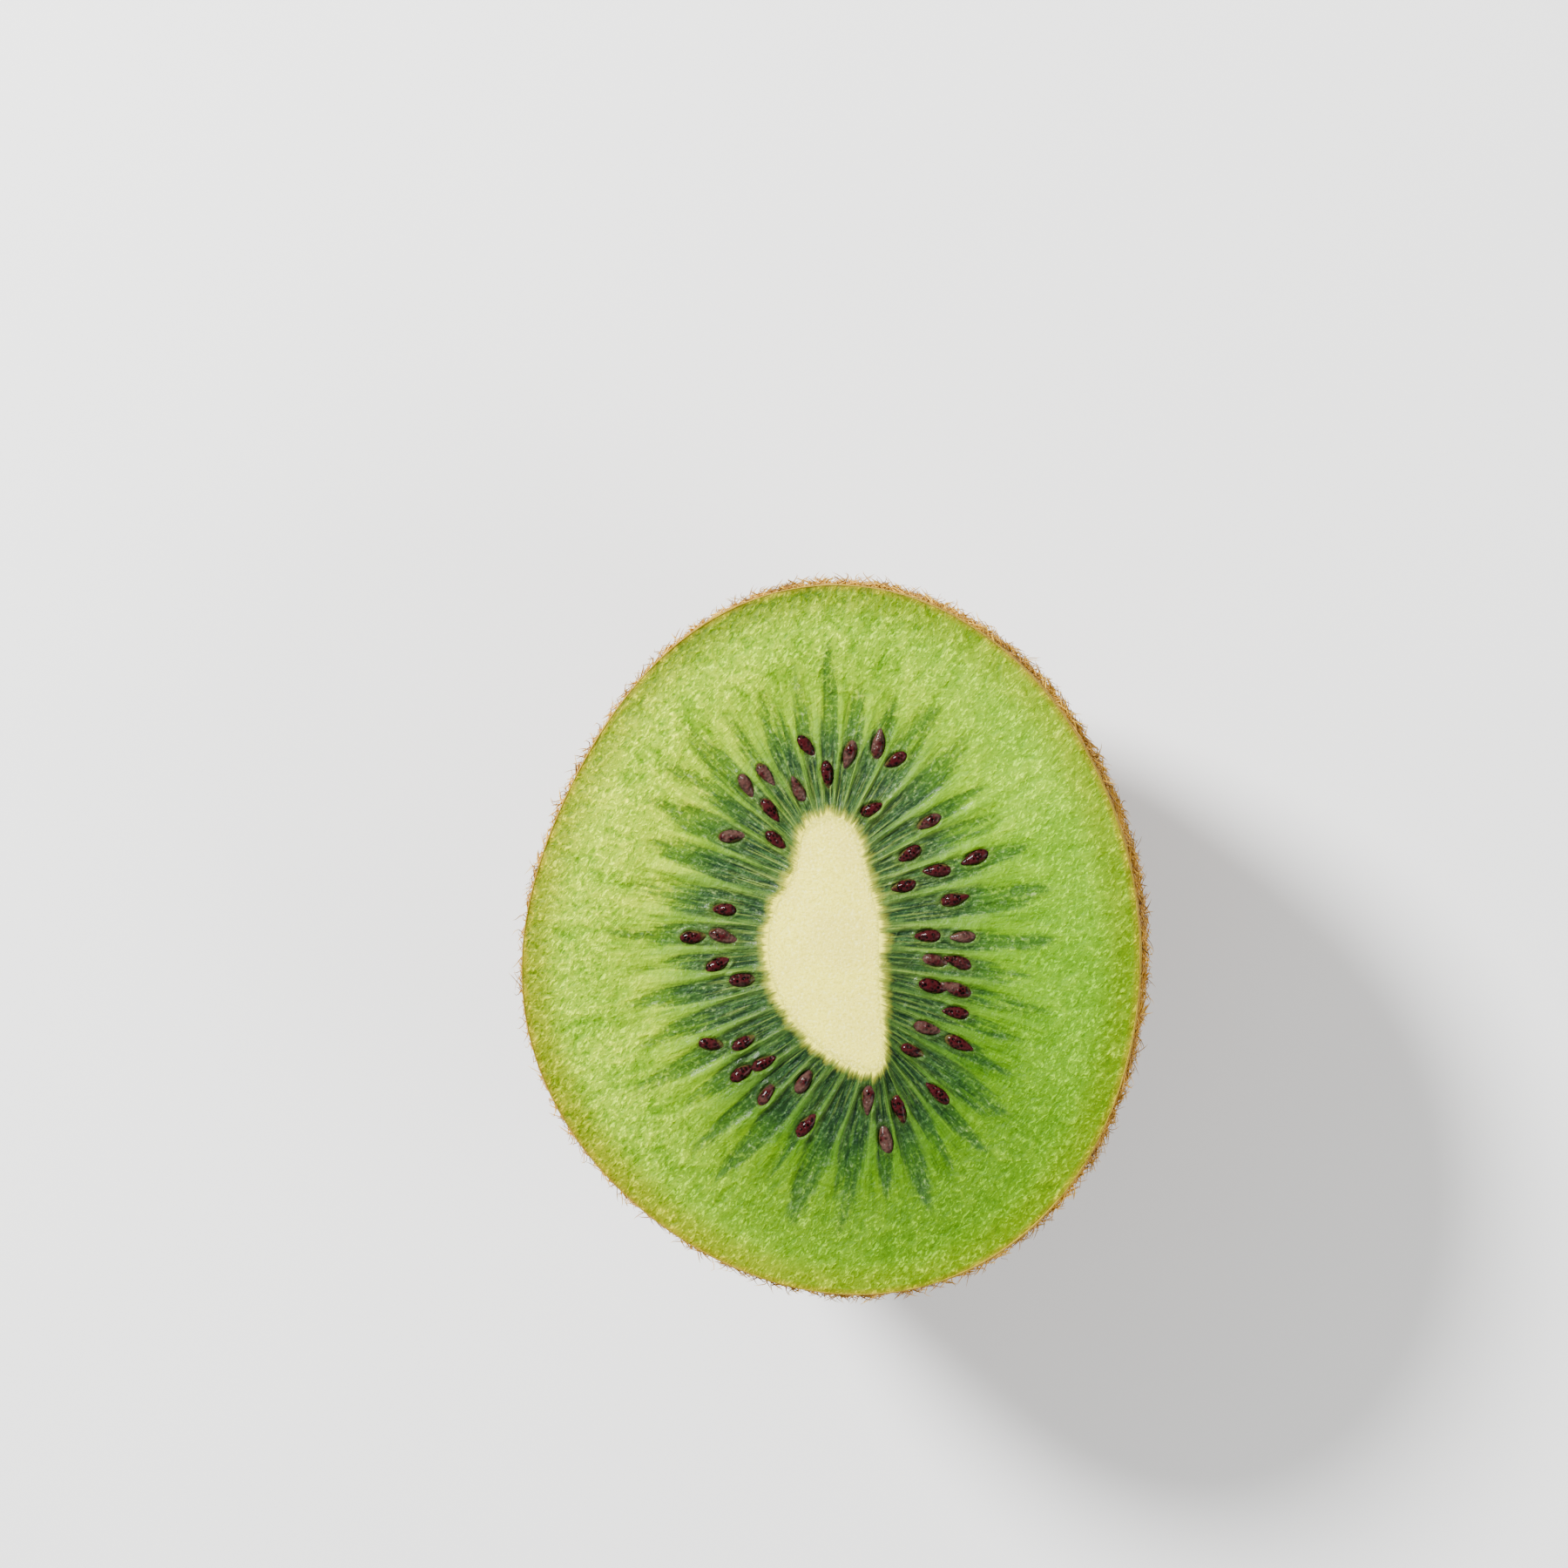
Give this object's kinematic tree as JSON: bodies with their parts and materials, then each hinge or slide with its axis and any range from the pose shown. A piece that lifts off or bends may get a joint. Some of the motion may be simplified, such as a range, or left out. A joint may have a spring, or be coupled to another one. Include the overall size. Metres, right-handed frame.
{
  "type": "kiwi fruit half",
  "caption": "Half of a green kiwi fruit cut across its middle, with seeds in chambers round a pale core, brown fuzzy skin, lying cut face up on its rounded end.",
  "frame": {"origin": "on the ground, under the middle of the box round the half as it lies cut face up", "axes": "+Z up, out of the cut face; +Y along the cut face's tall diameter, towards the core's blunt end; +X to the right as the cut face is seen with +Y up"},
  "size_m": [0.0492, 0.0562, 0.0344],
  "materials": {
    "flesh": "wet cut fruit flesh, lime green at the rim and dark green in the seed chambers",
    "core": "cream, fine-grained and moist",
    "seeds": "glossy dark maroon",
    "skin": "dry golden-brown skin",
    "fuzz": "short stiff golden-brown hairs",
    "scar": "dry dark brown blossom scar"
  },
  "bodies": {
    "root": {"flesh": "flesh", "core": "core"}
  },
  "joints": []
}
